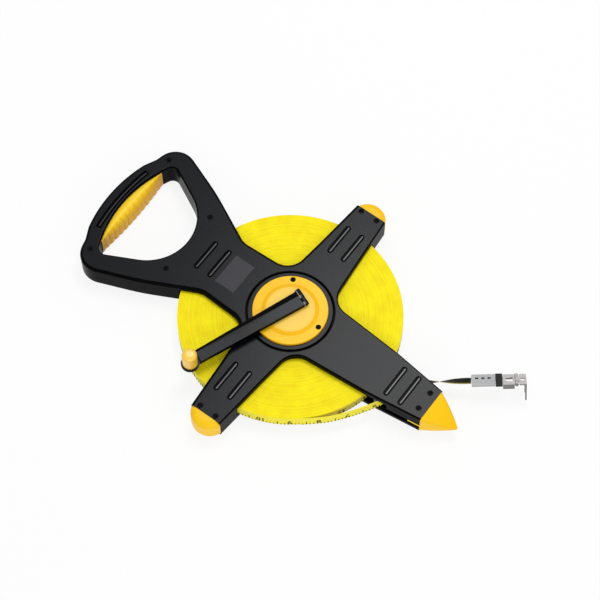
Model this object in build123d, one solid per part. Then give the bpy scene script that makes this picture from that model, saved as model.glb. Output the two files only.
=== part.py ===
from build123d import *
import os
from math import atan2, cos, degrees, hypot, radians, sin, sqrt, tan

# Open-reel long tape with a handle, a ground nose and a folding crank. Millimetres.
# The reel lies on its back: Z is the spindle axis, Z = 0 is the back face, +X runs to the nose.

# ---- frame ----
frame_thickness = 26.0        # back face to front face
skin = 2.5                    # face of each frame shell
wall = 2.2                    # rim of each frame shell
edge_round = 1.6              # front edge of the arms, both edges of the finger loop
grasp_round = 3.0             # front edge of the handle and the whole back edge
arm_bend_round = 120.0        # slight bend in the side of each arm
notch_round = 18.0            # between two arms

nose_arm_over = 51.5          # end of the arm beyond the coil
nose_arm_half = 17.0          # half width at the end
nose_arm_mid = 100.0
nose_arm_mid_half = 23.7
side_arm_over = 22.1          # end of the arm beyond the coil
side_arm_half = 15.7
side_arm_mid = 72.4
side_arm_mid_half = 20.0
notch_x = 24.3                # where the arm edges would meet, nose side
notch_y = 29.3
neck_x = -75.4                # where the handle flares out
neck_half = 31.0
neck_notch_half = 33.0        # where the neck edge would meet a side arm

# ---- handle ----
handle_waist_x = -126.0       # slight bend in the side of the handle
handle_waist_half = 56.6
handle_waist_round = 250.0
handle_flare = 0.39           # slope of the side from the bend to the corner
handle_corner_round = 19.5
swell_x = -203.9              # outermost point of the swell on the bar
swell_edge_x = -198.0         # where the swell starts to fall away
swell_half = 39.8
swell_run = 11.7              # length of its flank
swell_foot_x = -192.2
swell_foot_lean = 0.25        # slope of the bar from the flank to the corner
swell_blend = 15.0
loop_end_x = -116.3           # finger loop, side towards the reel
loop_end_round = 44.2
loop_bar_x = -188.5           # finger loop, side towards the bar
loop_bar_round = 118.0
loop_side_angle = 26.8
loop_corner_round = 7.0

# ---- tape and spool ----
tape_width = 13.0
coil_radius = 100.5
core_radius = 36.0
core_wall = 2.5
core_web = 3.0
coil_side_gap = 0.5           # rim of a shell to the side of the coil
coil_clear = 2.0              # frame walls outside the coil
core_holes = 6
core_hole_radius = 6.0
core_hole_circle = 22.0
tape_strip = 1.0              # stand-in thickness of the loose run

# ---- fits ----
running = 0.05                # radial clearance of a running fit
seat = 0.1                    # clearance of a seated piece
apart = 0.3                   # between pieces that move past each other

# ---- spindle ----
spindle_radius = 6.0
spindle_top = 23.0
spindle_bevel = 0.8
spindle_tail_radius = 4.0
spindle_boss_radius = 16.0
spindle_boss_top = 5.0
nut_flats = 12.0
nut_thick = 2.6
nut_sink = 0.6                # nut below the back face
nut_room = 8.2                # radius of the recess for the nut
washer_radius = 12.0
washer_thick = 0.8
bush_wall = 2.0
bush_length = 5.0
bush_flange = 0.6
bush_flange_radius = 10.5
hub_tube_wall = 3.5
clip_thick = 1.0
clip_radius = 8.6
clip_seat_radius = 5.2        # bottom of the groove in the spindle
clip_gap = 5.0                # opening of the clip
clip_play = 0.02              # clip in its groove, each side

# ---- crank hub and disc ----
hub_radius = 37.8
hub_gap = 1.6                 # hub to the hole in the front shell
hub_top = 26.3
hub_floor = 2.2
hub_eye = 14.0                # radius of the hole in the floor
disc_radius = 33.7
disc_low = 25.6
disc_top = 28.8
disc_bevel = 0.5
plateau_radius = 22.0
plateau_slope = 3.5
plateau_rise = 1.2
disc_screw_circle = 30.0
disc_screw_angle = 2.0
disc_screw_length = 17.0
disc_screw_head_radius = 2.4
disc_screw_head = 1.4
disc_screw_sink = 0.2

# ---- crank ----
crank_angle = 248.0           # direction of the arm from the spindle
pivot_offset = 14.0           # hinge pin to the spindle axis, away from the knob
crank_reach = 102.0           # knob axis to the spindle axis
arm_land = 10.0               # width of the flat top of the arm
arm_slope = 6.5               # width of the sloping side at the hinge
arm_slope_end = 2.5           # and at the knob
arm_thick = 5.0
arm_base = 1.6                # thickness left at the low edge of the slope
arm_clear = 0.5               # arm above the plateau
arm_stop = 8.5                # land ends short of the knob axis
pin_radius = 1.2
knuckle_width = 4.0
stem_foot = 1.6               # foot of the bracket under the disc
stem_spread = 3.0             # foot beyond the stem
knob_radius = 6.8
knob_height = 21.0            # above the underside of the arm
knob_plate = 2.0
knob_plate_radius = 8.2
knob_pin_radius = 2.0
knob_pin_length = 15.0
knob_dome = 4.5
knob_foot_round = 0.6

# ---- tape guide in the nose arm ----
roller_radius = 3.0
roller_pin_radius = 1.0
roller_pin_bite = 1.2         # pin into each skin
roller_boss_radius = 2.6
slot_length = 23.0            # openings for the tape beside each roller
slot_deep = 17.0

# ---- loose run of the tape: distance outside the coil and direction from the spindle ----
unwinding = [(0.8, -48.96), (2.0, -40.01), (4.12, -31.71), (7.12, -22.39)]
entry_bend = (13.45, -10.62)  # round the first roller
exit_bend = (30.24, 7.91)     # round the second roller
way_out = (40.85, 10.23)      # where the twist starts
end_place = (165.0, 43.0, 17.6)   # where the tape goes into the sleeve
end_heading = 36.5
end_climb = 3.7
end_tilt = 24.0               # of the flat of the tape, near edge up

# ---- fittings at the end of the tape ----
sleeve_length = 20.7
sleeve_width = 14.0
sleeve_thick = 3.0
band_length = 6.0
band_width = 14.6
band_thick = 3.8
hook_width = 13.6
hook_sheet = 1.2
hook_link = 12.0              # band to the hinge pin
hook_flange = 4.6
claw_reach = 8.6              # hinge pin to the prongs
claw_prong = 3.6              # width of a prong
claw_pin_radius = 0.8
claw_knuckle_radius = 1.6

# ---- fasteners ----
screw_radius = 1.4
screw_head_radius = 2.6
screw_head = 2.0
screw_sink = 0.8              # head below the face
screw_length = 18.0
socket_depth = 0.6            # of the head's height
socket_radius = 0.5           # of the head's radius
boss_radius = 3.2
handle_screws = [(-181.5, 57.1), (-114.7, 32.4)]
side_screw_half = 8.4         # half distance between a pair of screws
side_screw_back = 3.4         # from the end of the arm
nose_screw_half = 8.75
nose_screw_back = 7.25

# ---- ribs and label ----
rib_length = 30.0
rib_width = 2.4
rib_groove = 1.5              # groove round each rib
rib_depth = 1.2
rib_proud = 0.4
rib_pitch = 15.0
neck_ribs_x = -86.7
nose_ribs_back = 30.6         # middle of the pair from the end of the arm
side_ribs_back = 38.9
handle_rib_x = -193.1         # curved rib on the bar
handle_rib_half = 34.5
handle_rib_round = 200.7
label_size = (20.5, 31.5)
label_centre = (-61.8, 0.0)
label_thick = 0.4

# ---- end caps ----
cap_inset = 0.4               # cap below the faces of the shells
bumper_depth = 11.4           # arc in plan
bumper_round = 6.0            # across the thickness
nose_base_round = 3.2
nose_waist = 14.0             # section half way along the nose
nose_waist_half = 10.2
nose_waist_thick = 7.9        # half thickness
nose_waist_round = 4.0
nose_length = 28.0
nose_tip = 1.0                # half width and half thickness
nose_tip_round = 0.6
cheek_length = 11.5           # ledge of the nose seen in the long slot
cheek_low = 9.5
cheek_inner = 12.6            # from the middle of the arm
cheek_sink = 0.5              # below the side of the arm
tongue_half = 4.6
tongue_depth = 9.0
tongue_low = 5.0              # tongue above the back face
tongue_head = 2.4
tongue_head_half = 10.5
nose_tongue_depth = 14.0
nose_tongue_head_half = 8.6

# ---- grip ----
grip_half = 45.0
grip_crown_x = -171.5
grip_inset = 2.0              # below each face
grip_front_round = 9.0
grip_back_round = 3.0
grip_ribs = 13
grip_rib_radius = 2.6
grip_rib_low = 4.0
grip_rib_top = 15.0
grip_rib_round = 1.5
grip_rib_sink = 1.2           # centre of each rib below the crown
grip_rib_span = 0.84          # of the half length

nose_arm_end = coil_radius + nose_arm_over
side_arm_end = coil_radius + side_arm_over
mid = frame_thickness / 2
coil_low = mid - tape_width / 2
coil_high = mid + tape_width / 2
front_rim = coil_high + coil_side_gap
back_rim = coil_low - coil_side_gap
front_skin = frame_thickness - skin
screw_seat = frame_thickness - screw_sink - screw_head
arm_low = disc_top + plateau_rise + arm_clear

os.makedirs("parts", exist_ok=True)


def save(shape, name, colour):
    shape.label = name
    shape.color = Color(colour)
    export_step(shape, f"parts/{name}.step")


def cylinder(radius, low, high, x=0.0, y=0.0):
    return Pos(x, y, (low + high) / 2) * Cylinder(radius, high - low)


def ring(outer, inner, low, high, x=0.0, y=0.0):
    return cylinder(outer, low, high, x, y) - cylinder(inner, low - 1, high + 1, x, y)


def polar(radius, angle):
    return radius * cos(radians(angle)), radius * sin(radians(angle))


def near(vertices, x, y):
    return [v for v in vertices if hypot(v.X - x, v.Y - y) < 0.5]


# ---------------------------------------------------------------- outline
def outline():
    """Plan of the frame without the finger loop, square at the ends of the arms."""
    foot_half = swell_half + swell_run
    corner_half = handle_waist_half + handle_flare * (
        handle_waist_x - swell_foot_x + swell_foot_lean * foot_half)
    corner_half /= 1 + handle_flare * swell_foot_lean
    corner_x = swell_foot_x + swell_foot_lean * (corner_half - foot_half)
    upper = [
        (nose_arm_end, nose_arm_half, 0),
        (nose_arm_mid, nose_arm_mid_half, arm_bend_round),
        (notch_x, notch_y, notch_round),
        (side_arm_mid_half, side_arm_mid, arm_bend_round),
        (side_arm_half, side_arm_end, 0),
        (-side_arm_half, side_arm_end, 0),
        (-side_arm_mid_half, side_arm_mid, arm_bend_round),
        (-notch_x, neck_notch_half, notch_round),
        (neck_x, neck_half, notch_round),
        (handle_waist_x, handle_waist_half, handle_waist_round),
        (corner_x, corner_half, handle_corner_round),
        (swell_foot_x, foot_half, swell_blend),
        (swell_edge_x, swell_half, swell_blend),
    ]
    points = [(x, -y) for x, y, radius in reversed(upper)] + [(x, y) for x, y, radius in upper]
    swell = ThreePointArc(points[-1], (swell_x, 0), points[0])
    plan = make_face([Polyline(*points), swell])
    for x, y, radius in upper:
        for side in (y, -y):
            if radius:
                plan = fillet(near(plan.vertices(), x, side), radius)
    return plan.face()


def finger_loop():
    """Plan of the hole that the hand goes through."""
    centre_x = loop_end_x - loop_end_round
    bar_centre = loop_bar_x + loop_bar_round
    turn = radians(loop_side_angle)
    tangent = (centre_x + loop_end_round * sin(turn), loop_end_round * cos(turn))
    # where the straight side meets the arc along the bar
    dx, dy = -cos(turn), sin(turn)
    px, py = tangent[0] - bar_centre, tangent[1]
    half_b = px * dx + py * dy
    run = -half_b + sqrt(half_b**2 - (px * px + py * py - loop_bar_round**2))
    corner = (tangent[0] + run * dx, tangent[1] + run * dy)
    far = (corner[0], -corner[1])
    edge = [
        Line(tangent, corner),
        ThreePointArc(corner, (loop_bar_x, 0), far),
        Line(far, (tangent[0], -tangent[1])),
        ThreePointArc((tangent[0], -tangent[1]), (loop_end_x, 0), tangent),
    ]
    plan = make_face(edge)
    for x, y in (corner, far):
        plan = fillet(near(plan.vertices(), x, y), loop_corner_round)
    return plan.face()


plan = outline()
loop = finger_loop()
loop_wall = offset(loop, wall)
pocket_plan = offset(plan, -wall) - loop_wall

frame_screws = handle_screws + [
    (-side_screw_half, side_arm_end - side_screw_back),
    (side_screw_half, side_arm_end - side_screw_back),
    (nose_arm_end - nose_screw_back, nose_screw_half),
]
frame_screws += [(x, -y) for x, y in frame_screws]


# ---------------------------------------------------------------- route of the tape
run_points = [polar(coil_radius + out, angle)
              for out, angle in unwinding + [entry_bend, exit_bend, way_out]]
entry_index = len(unwinding)


def heading(first, second):
    return atan2(second[1] - first[1], second[0] - first[0])


def run_radii():
    """Radius of the tangent arc at each inner point of the run."""
    radii = []
    for a, b, c in zip(run_points, run_points[1:], run_points[2:]):
        turn = abs(heading(b, c) - heading(a, b))
        short = min(hypot(b[0] - a[0], b[1] - a[1]), hypot(c[0] - b[0], c[1] - b[1]))
        radii.append(0.45 * short / tan(turn / 2))
    return radii


def roller_centre(bend):
    """A roller stands inside its bend, just clear of the tape."""
    before = heading(run_points[bend - 1], run_points[bend])
    after = heading(run_points[bend], run_points[bend + 1])
    side = 1 if after > before else -1
    bow = run_radii()[bend - 1] * (1 / cos((after - before) / 2) - 1)
    reach = bow + tape_strip / 2 + apart + roller_radius
    toward = (before + after) / 2 + side * radians(90)
    x, y = run_points[bend]
    return x + reach * cos(toward), y + reach * sin(toward)


rollers = {
    "entry_roller": roller_centre(entry_index),
    "exit_roller": roller_centre(entry_index + 1),
}


# ---------------------------------------------------------------- frame shells
def rib_places():
    """Centre and direction of the long ribs: two on each arm."""
    half = rib_pitch / 2
    places = []
    for x in (-half, half):
        places += [(neck_ribs_x + x, 0.0), (nose_arm_end - nose_ribs_back + x, 0.0)]
        places += [(x, side_arm_end - side_ribs_back), (x, side_ribs_back - side_arm_end)]
    return places


def rib_plan(extra):
    """Plan of all the ribs, each made wider and longer by extra on every side."""
    turn = degrees((handle_rib_half + extra) / handle_rib_round)
    arc = CenterArc((handle_rib_x + handle_rib_round, 0), handle_rib_round, 180 - turn, 2 * turn)
    result = trace(arc, rib_width + 2 * extra)
    straight = SlotOverall(rib_length + 2 * extra, rib_width + 2 * extra, rotation=90)
    for x, y in rib_places():
        result += Pos(x, y) * straight
    return result


def tape_slots():
    """Openings in the long walls of the nose arm: tape in, tape out and the slot to the nose."""
    high = front_rim - back_rim
    entry_x, entry_y = rollers["entry_roller"]
    exit_x, exit_y = rollers["exit_roller"]
    opening = Box(slot_length, slot_deep, high)
    way_in = Pos(entry_x, entry_y - slot_deep / 2, mid) * opening
    out = Pos(exit_x, exit_y + slot_deep / 2, mid) * opening
    long_end = nose_arm_end + wall
    long_slot = Box(long_end - entry_x, slot_deep, mid - back_rim)
    long_y = seat - cheek_inner - slot_deep / 2
    return way_in + out + Pos((entry_x + long_end) / 2, long_y, (mid + back_rim) / 2) * long_slot


def cap_slots():
    """Openings in the ends of the arms for the tongues of the caps."""
    high = frame_thickness - 2 * tongue_low + 2 * seat
    wide = 2 * (tongue_half + seat)
    slots = Pos(nose_arm_end, 0, mid) * Box(4 * wall, wide, high)
    for end in (side_arm_end, -side_arm_end):
        slots += Pos(0, end, mid) * Box(wide, 4 * wall, high)
    return slots


def both_shells(body):
    """Room for the coil, the tape and the caps."""
    body -= cylinder(coil_radius + coil_clear, back_rim, front_rim)
    return body - tape_slots() - cap_slots()


def soften(body, level, arm_radius):
    """Round the edges of one face, but not the ends of the arms."""
    def pick(keep):
        rim = body.edges().filter_by_position(Axis.Z, level, level)
        return [e for e in rim if keep(e.center().X, Vector(e.center().X, e.center().Y))]

    guard = loop_wall.face()
    body = fillet(pick(lambda x, place: guard.is_inside(place)), edge_round)
    body = fillet(pick(lambda x, place: x < -side_arm_half and not guard.is_inside(place)),
                  grasp_round)
    return fillet(pick(lambda x, place: side_arm_half < x < nose_arm_end - 1), arm_radius)


def front_shell():
    body = Pos(0, 0, mid) * extrude(plan - loop, frame_thickness - mid)
    body = soften(body, frame_thickness, edge_round)
    body -= Pos(0, 0, mid) * extrude(pocket_plan, front_skin - mid)
    for x, y in frame_screws:
        body += cylinder(boss_radius, mid, front_skin, x, y)
    body += cylinder(hub_radius + hub_gap + wall, front_rim, front_skin)
    body = both_shells(body)
    for x, y in rollers.values():
        body += cylinder(roller_boss_radius, front_rim, front_skin, x, y)
        body -= cylinder(roller_pin_radius + seat, mid, front_skin + roller_pin_bite, x, y)
    body -= cylinder(hub_radius + hub_gap, mid, frame_thickness + 1)
    rib_floor = frame_thickness - rib_depth
    body -= Pos(0, 0, rib_floor) * extrude(rib_plan(rib_groove), rib_depth + 1)
    body += Pos(0, 0, rib_floor - seat) * extrude(rib_plan(0), rib_depth + seat + rib_proud)
    for x, y in frame_screws:
        body -= cylinder(screw_radius + seat, mid - 1, screw_seat + 1, x, y)
        body -= cylinder(screw_head_radius + seat, screw_seat, frame_thickness + 1, x, y)
    recess = Rectangle(label_size[0] + 2 * seat, label_size[1] + 2 * seat)
    recess_floor = Pos(*label_centre, frame_thickness - label_thick)
    return body - recess_floor * extrude(recess, label_thick + 1)


def back_shell():
    body = soften(extrude(plan - loop, mid), 0, grasp_round)
    body -= Pos(0, 0, skin) * extrude(pocket_plan, mid - skin)
    for x, y in frame_screws:
        body += cylinder(boss_radius, skin, mid, x, y)
    body = both_shells(body)
    for x, y in rollers.values():
        body += cylinder(roller_boss_radius, skin, back_rim, x, y)
        body -= cylinder(roller_pin_radius + seat, skin - roller_pin_bite, mid, x, y)
    body += cylinder(spindle_boss_radius, skin, spindle_boss_top)
    body -= cylinder(spindle_tail_radius + seat, -1, spindle_boss_top + 1)
    body -= cylinder(nut_room, -1, nut_thick + nut_sink)
    for x, y in frame_screws:
        body -= cylinder(screw_radius + running, screw_seat - screw_length - 1, mid + 1, x, y)
    return body


def screw(length, radius, head_radius, head, top, x, y):
    """Screw with its head on top and a hexagon socket."""
    body = cylinder(head_radius, top - head, top, x, y)
    socket = extrude(RegularPolygon(socket_radius * head_radius, 6), head)
    body -= Pos(x, y, top - socket_depth * head) * socket
    return body + cylinder(radius, top - head - length, top - head, x, y)


save(front_shell(), "front_frame", "black")
save(back_shell(), "back_frame", "black")
save(Compound([screw(screw_length, screw_radius, screw_head_radius, screw_head,
                     screw_seat + screw_head, x, y) for x, y in frame_screws]),
     "frame_screws", "gray")
save(Pos(*label_centre, frame_thickness - label_thick) * extrude(
    Rectangle(*label_size), label_thick), "label_plate", "lightgray")


# ---------------------------------------------------------------- caps
def tongue(depth, head_half):
    """T-shaped tongue held behind the screw bosses; the cap stands on Y = 0."""
    high = frame_thickness - 2 * tongue_low
    stem = Pos(0, -depth / 2, mid) * Box(2 * tongue_half, depth, high)
    return stem + Pos(0, -depth + tongue_head / 2, mid) * Box(2 * head_half, tongue_head, high)


def bumper():
    half = side_arm_half
    arc = ThreePointArc((half, 0), (0, bumper_depth), (-half, 0))
    body = extrude(make_face([arc, Line((-half, 0), (half, 0))]), frame_thickness - 2 * cap_inset)
    body = Pos(0, 0, cap_inset) * fillet(body.edges().filter_by(GeomType.CIRCLE), bumper_round)
    return body + tongue(tongue_depth, tongue_head_half)


def cheek():
    """Ledge along the side of the arm that shows in the long slot."""
    outer = nose_arm_half - cheek_sink
    spread = (nose_arm_mid_half - nose_arm_half) / (nose_arm_end - nose_arm_mid)
    plan = make_face(Polyline((cheek_inner, 1), (outer, 1), (outer, 0),
                              (outer + spread * cheek_length, -cheek_length),
                              (cheek_inner, -cheek_length), close=True))
    return Pos(0, 0, cheek_low) * extrude(plan, mid - seat - cheek_low)


def nose():
    """Point that is set on the mark: the arm's section drawn in to a blunt tip."""
    def section(along, half, thick, soft):
        return Plane.XZ.offset(-along) * Pos(0, mid) * RectangleRounded(2 * half, 2 * thick, soft)

    body = loft([
        section(0, nose_arm_half - cap_inset, mid - cap_inset, nose_base_round),
        section(nose_waist, nose_waist_half, nose_waist_thick, nose_waist_round),
        section(nose_length, nose_tip, nose_tip, nose_tip_round),
    ])
    return body + tongue(nose_tongue_depth, nose_tongue_head_half) + cheek()


cap = bumper()
save(Pos(0, side_arm_end, 0) * cap, "upper_bumper", "orange")
save(Pos(0, -side_arm_end, 0) * Rot(0, 0, 180) * cap, "lower_bumper", "orange")
save(Pos(nose_arm_end, 0, 0) * Rot(0, 0, -90) * nose(), "ground_nose", "orange")


# ---------------------------------------------------------------- grip
def grip():
    """Lens between the bar and the hand, with finger ribs on its back half."""
    end_x = loop_bar_x + loop_bar_round - sqrt(loop_bar_round**2 - grip_half**2)
    upper, lower = (end_x, grip_half), (end_x, -grip_half)
    lens = make_face([
        ThreePointArc(upper, (grip_crown_x, 0), lower),
        ThreePointArc(lower, (loop_bar_x + seat, 0), upper),
    ])
    body = Pos(0, 0, grip_inset) * extrude(lens, frame_thickness - 2 * grip_inset)
    inner = [e for e in body.edges() if e.center().X > end_x and e.length > grip_half]
    inner = ShapeList(inner).sort_by(Axis.Z)
    body = fillet(inner[-1], grip_front_round)
    inner = [e for e in body.edges() if e.center().X > end_x and e.length > grip_half]
    body = fillet(ShapeList(inner).sort_by(Axis.Z)[0], grip_back_round)
    rise = grip_crown_x - end_x
    radius = (rise**2 + grip_half**2) / (2 * rise)
    rib = cylinder(grip_rib_radius, grip_rib_low, grip_rib_top)
    rib = fillet(rib.edges().sort_by(Axis.Z)[-1], grip_rib_round)
    for i in range(grip_ribs):
        angle = degrees(grip_rib_span * grip_half / radius) * (2 * i / (grip_ribs - 1) - 1)
        x, y = polar(radius - grip_rib_sink, angle)
        body += Pos(grip_crown_x - radius + x, y, 0) * rib
    return body


save(grip(), "handle_grip", "orange")

# ---------------------------------------------------------------- spindle
washer_top = spindle_boss_top + washer_thick
front_flange = coil_high + bush_flange
clip_low = front_flange + seat
spindle = cylinder(spindle_radius, spindle_boss_top, spindle_top)
spindle += cylinder(spindle_tail_radius, 0, spindle_boss_top)
spindle = chamfer(spindle.edges().sort_by(Axis.Z)[-1], spindle_bevel)
spindle -= ring(spindle_radius + 1, clip_seat_radius, clip_low, clip_low + clip_thick)
save(spindle, "spindle", "silver")
nut = Pos(0, 0, nut_sink) * extrude(RegularPolygon(nut_flats / 2, 6, major_radius=False), nut_thick)
save(nut - cylinder(spindle_tail_radius + running, -1, frame_thickness), "spindle_nut", "silver")
save(ring(washer_radius, spindle_radius + running, spindle_boss_top, washer_top),
     "thrust_washer", "silver")
clip = ring(clip_radius, clip_seat_radius + running, clip_low + clip_play,
            clip_low + clip_thick - clip_play)
opening = Pos(clip_radius, 0, clip_low) * Box(2 * clip_radius, clip_gap, 4 * clip_thick)
save(clip - opening, "retaining_clip", "silver")

# ---------------------------------------------------------------- spool
bush_radius = spindle_radius + running + bush_wall
tube_radius = bush_radius + hub_tube_wall
screw_angles = [disc_screw_angle + 120 * i for i in range(3)]
screw_places = [polar(disc_screw_circle, angle) for angle in screw_angles]


def spool():
    body = ring(core_radius, core_radius - core_wall, coil_low, coil_high)
    body += cylinder(core_radius - 0.5 * core_wall, coil_low, coil_low + core_web)
    body += cylinder(tube_radius, coil_low, coil_high)
    for x, y in screw_places:
        body += cylinder(boss_radius, coil_low, coil_high, x, y)
    for i in range(core_holes):
        x, y = polar(core_hole_circle, disc_screw_angle + 360 / core_holes * (i + 0.5))
        body -= cylinder(core_hole_radius, 0, coil_low + core_web + 1, x, y)
    for x, y in screw_places:
        body -= cylinder(screw_radius + running, coil_low + 1.5, coil_high + 1, x, y)
    return body - cylinder(bush_radius, 0, coil_high + 1)


def bush(low, flange_low):
    body = ring(bush_radius, spindle_radius + running, low, low + bush_length)
    return body + ring(bush_flange_radius, spindle_radius + running, flange_low,
                       flange_low + bush_flange)


save(spool(), "spool_core", "gray")
save(bush(coil_low, coil_low - bush_flange), "rear_bush", "tan")
save(bush(coil_high - bush_length, coil_high), "front_bush", "tan")
save(ring(coil_radius, core_radius, coil_low, coil_high), "tape_coil", "yellow")


# ---------------------------------------------------------------- crank hub and disc
def hub():
    body = ring(hub_radius, disc_radius + 2 * seat, coil_high, hub_top)
    body += ring(disc_radius + 1, hub_eye, coil_high, coil_high + hub_floor)
    for x, y in screw_places:
        body += cylinder(boss_radius, coil_high, disc_low, x, y)
        body -= cylinder(screw_radius + seat, coil_high - 1, disc_low + 1, x, y)
    return body


turn = Rot(0, 0, crank_angle)
hinge = turn * Pos(-pivot_offset, 0, arm_low + arm_thick / 2)
stem_half = arm_thick / 2 - seat


def disc():
    body = cylinder(disc_radius, disc_low, disc_top)
    body = chamfer(body.edges().sort_by(Axis.Z)[-1], disc_bevel)
    body += Pos(0, 0, disc_top + plateau_rise / 2) * Cone(
        plateau_radius + plateau_slope, plateau_radius, plateau_rise)
    for x, y in screw_places:
        body -= cylinder(screw_radius + seat, disc_low - 1, disc_top + 1, x, y)
        head_low = disc_top - disc_screw_sink - disc_screw_head
        body -= cylinder(disc_screw_head_radius + seat, head_low, disc_top + 1, x, y)
    slot = Box(2 * (stem_half + seat), knuckle_width + 2 * seat, 40)
    return body - turn * Pos(-pivot_offset, 0, disc_top) * slot


def bracket():
    """Knuckle that stands through the disc, its foot under it."""
    eye = Rot(90, 0, 0) * Cylinder(stem_half, knuckle_width)
    eye_height = arm_low + arm_thick / 2 - disc_low
    stem = Pos(0, 0, -eye_height / 2) * Box(2 * stem_half, knuckle_width, eye_height)
    foot = Pos(0, 0, -eye_height - stem_foot / 2) * Box(
        2 * (stem_half + stem_spread), knuckle_width + 2 * stem_spread, stem_foot)
    bore = Rot(90, 0, 0) * Cylinder(pin_radius + running, 40)
    return hinge * (eye + stem + foot - bore)


save(hub(), "crank_hub", "black")
save(disc(), "crank_disc", "orange")
save(Compound([screw(disc_screw_length, screw_radius, disc_screw_head_radius, disc_screw_head,
                     disc_top - disc_screw_sink, x, y) for x, y in screw_places]),
     "disc_screws", "gray")
save(bracket(), "crank_bracket", "silver")

# ---------------------------------------------------------------- crank
arm_near = arm_land / 2
arm_far = -arm_near - arm_slope
save(hinge * Pos(0, (arm_near + arm_far) / 2, 0) * Rot(90, 0, 0) * Cylinder(
    pin_radius, arm_near - arm_far - 1), "hinge_pin", "silver")


def arm_section(along, slope):
    """Cross section: flat land on the near side, slope on the far side."""
    low = arm_thick - (arm_thick - arm_base) * slope / arm_slope
    points = [
        (arm_near, 0),
        (arm_near, arm_thick),
        (-arm_near, arm_thick),
        (-arm_near - slope, low),
        (-arm_near - slope, 0),
    ]
    return Plane.YZ.offset(along) * make_face(Polyline(*points, close=True))


def arm():
    land_end = crank_reach - arm_stop
    body = loft([arm_section(-pivot_offset, arm_slope), arm_section(land_end, arm_slope_end)],
                ruled=True)
    wide = arm_near - arm_far
    body += Pos(-pivot_offset, (arm_near + arm_far) / 2, arm_thick / 2) * Rot(90, 0, 0) * Cylinder(
        arm_thick / 2, wide)
    plate = Pos(crank_reach, 0) * Circle(knob_plate_radius)
    plate += Pos(crank_reach - arm_stop, 0) * Rectangle(2 * arm_stop, arm_land)
    body += extrude(plate, knob_plate)
    notch = knuckle_width + 2 * apart
    body -= Pos(-pivot_offset, 0, arm_thick / 2) * Box(arm_thick + 2 * apart, notch, 9)
    body -= Pos(-pivot_offset, 0, arm_thick / 2) * Rot(90, 0, 0) * Cylinder(
        pin_radius + running, 3 * wide)
    body -= cylinder(knob_pin_radius, -1, arm_thick, crank_reach)
    return turn * Pos(0, 0, arm_low) * body


def knob():
    low = knob_plate + apart
    body = cylinder(knob_radius, low, knob_height, crank_reach)
    body = fillet(body.edges().sort_by(Axis.Z)[-1], knob_dome)
    body = fillet(body.edges().sort_by(Axis.Z)[0], knob_foot_round)
    body -= cylinder(knob_pin_radius + running, low - 1, knob_plate + knob_pin_length + apart,
                     crank_reach)
    return turn * Pos(0, 0, arm_low) * body


save(arm(), "crank_arm", "black")
save(turn * Pos(0, 0, arm_low) * cylinder(knob_pin_radius, 0, knob_plate + knob_pin_length,
                                          crank_reach), "knob_pin", "silver")
save(knob(), "crank_knob", "orange")

# ---------------------------------------------------------------- rollers
roller_pins = []
for name, (x, y) in rollers.items():
    save(ring(roller_radius, roller_pin_radius + running, back_rim + apart, front_rim - apart,
              x, y), name, "silver")
    roller_pins.append(cylinder(roller_pin_radius, skin - roller_pin_bite + seat,
                                front_skin + roller_pin_bite - seat, x, y))
save(Compound(roller_pins), "roller_pins", "silver")

# ---------------------------------------------------------------- loose tape and its fittings
end_along = Vector(1, 0, 0).rotate(Axis.Y, -end_climb).rotate(Axis.Z, end_heading)
end_near = Vector(0, -1, 0).rotate(Axis.Z, end_heading)
end_up = end_near.cross(end_along)
end_wide = end_near * cos(radians(end_tilt)) + end_up * sin(radians(end_tilt))
end_plane = Plane(origin=end_place, x_dir=end_along, z_dir=end_wide.cross(end_along))


def tape_run():
    """Strip on edge round the rollers, then twisted to lie nearly flat."""
    radii = run_radii()
    print("arc radii of the run", [round(r, 1) for r in radii])
    path = FilletPolyline(*run_points, radius=radii)
    body = Pos(0, 0, coil_low) * extrude(trace(path, tape_strip), tape_width)
    sections = []
    start = Vector(*run_points[-1], mid)
    last = heading(run_points[-2], run_points[-1])
    first_near = Vector(sin(last), -cos(last), 0)
    steps = 3
    for i in range(steps + 1):
        part = i / steps
        lean = radians(90 + part * (end_tilt - 90))
        near_way = first_near * (1 - part) + end_near * part
        centre = start + (Vector(*end_place) - start) * part
        along = Vector(cos(last), sin(last), 0) * (1 - part) + end_along * part
        side = near_way * cos(lean) + Vector(0, 0, 1) * sin(lean)
        section = Plane(origin=centre, x_dir=side, z_dir=along)
        sections.append(section * Rectangle(tape_width, tape_strip))
    return body + loft(sections, ruled=True)


def block(low, high, width, thick, soft):
    """Rounded block along the tape."""
    body = Pos((low + high) / 2, 0, 0) * Box(high - low, width, thick)
    return fillet(body.edges().filter_by(Axis.X), soft)


sleeve_low = apart
sleeve_high = sleeve_low + sleeve_length
band_low = sleeve_high + apart
band_high = band_low + band_length
link_low = band_high + apart
claw_axis = link_low + hook_link
claw_end = claw_axis + claw_reach
half_hook = hook_width / 2
centre_half = half_hook - claw_prong - apart


def barrel(low, high):
    """Rolled knuckle on the claw's hinge line, from low to high across the tape."""
    outer = Cylinder(claw_knuckle_radius, high - low) - Cylinder(claw_pin_radius + running, 40)
    return Pos(claw_axis, (low + high) / 2, 0) * Rot(90, 0, 0) * outer


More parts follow.
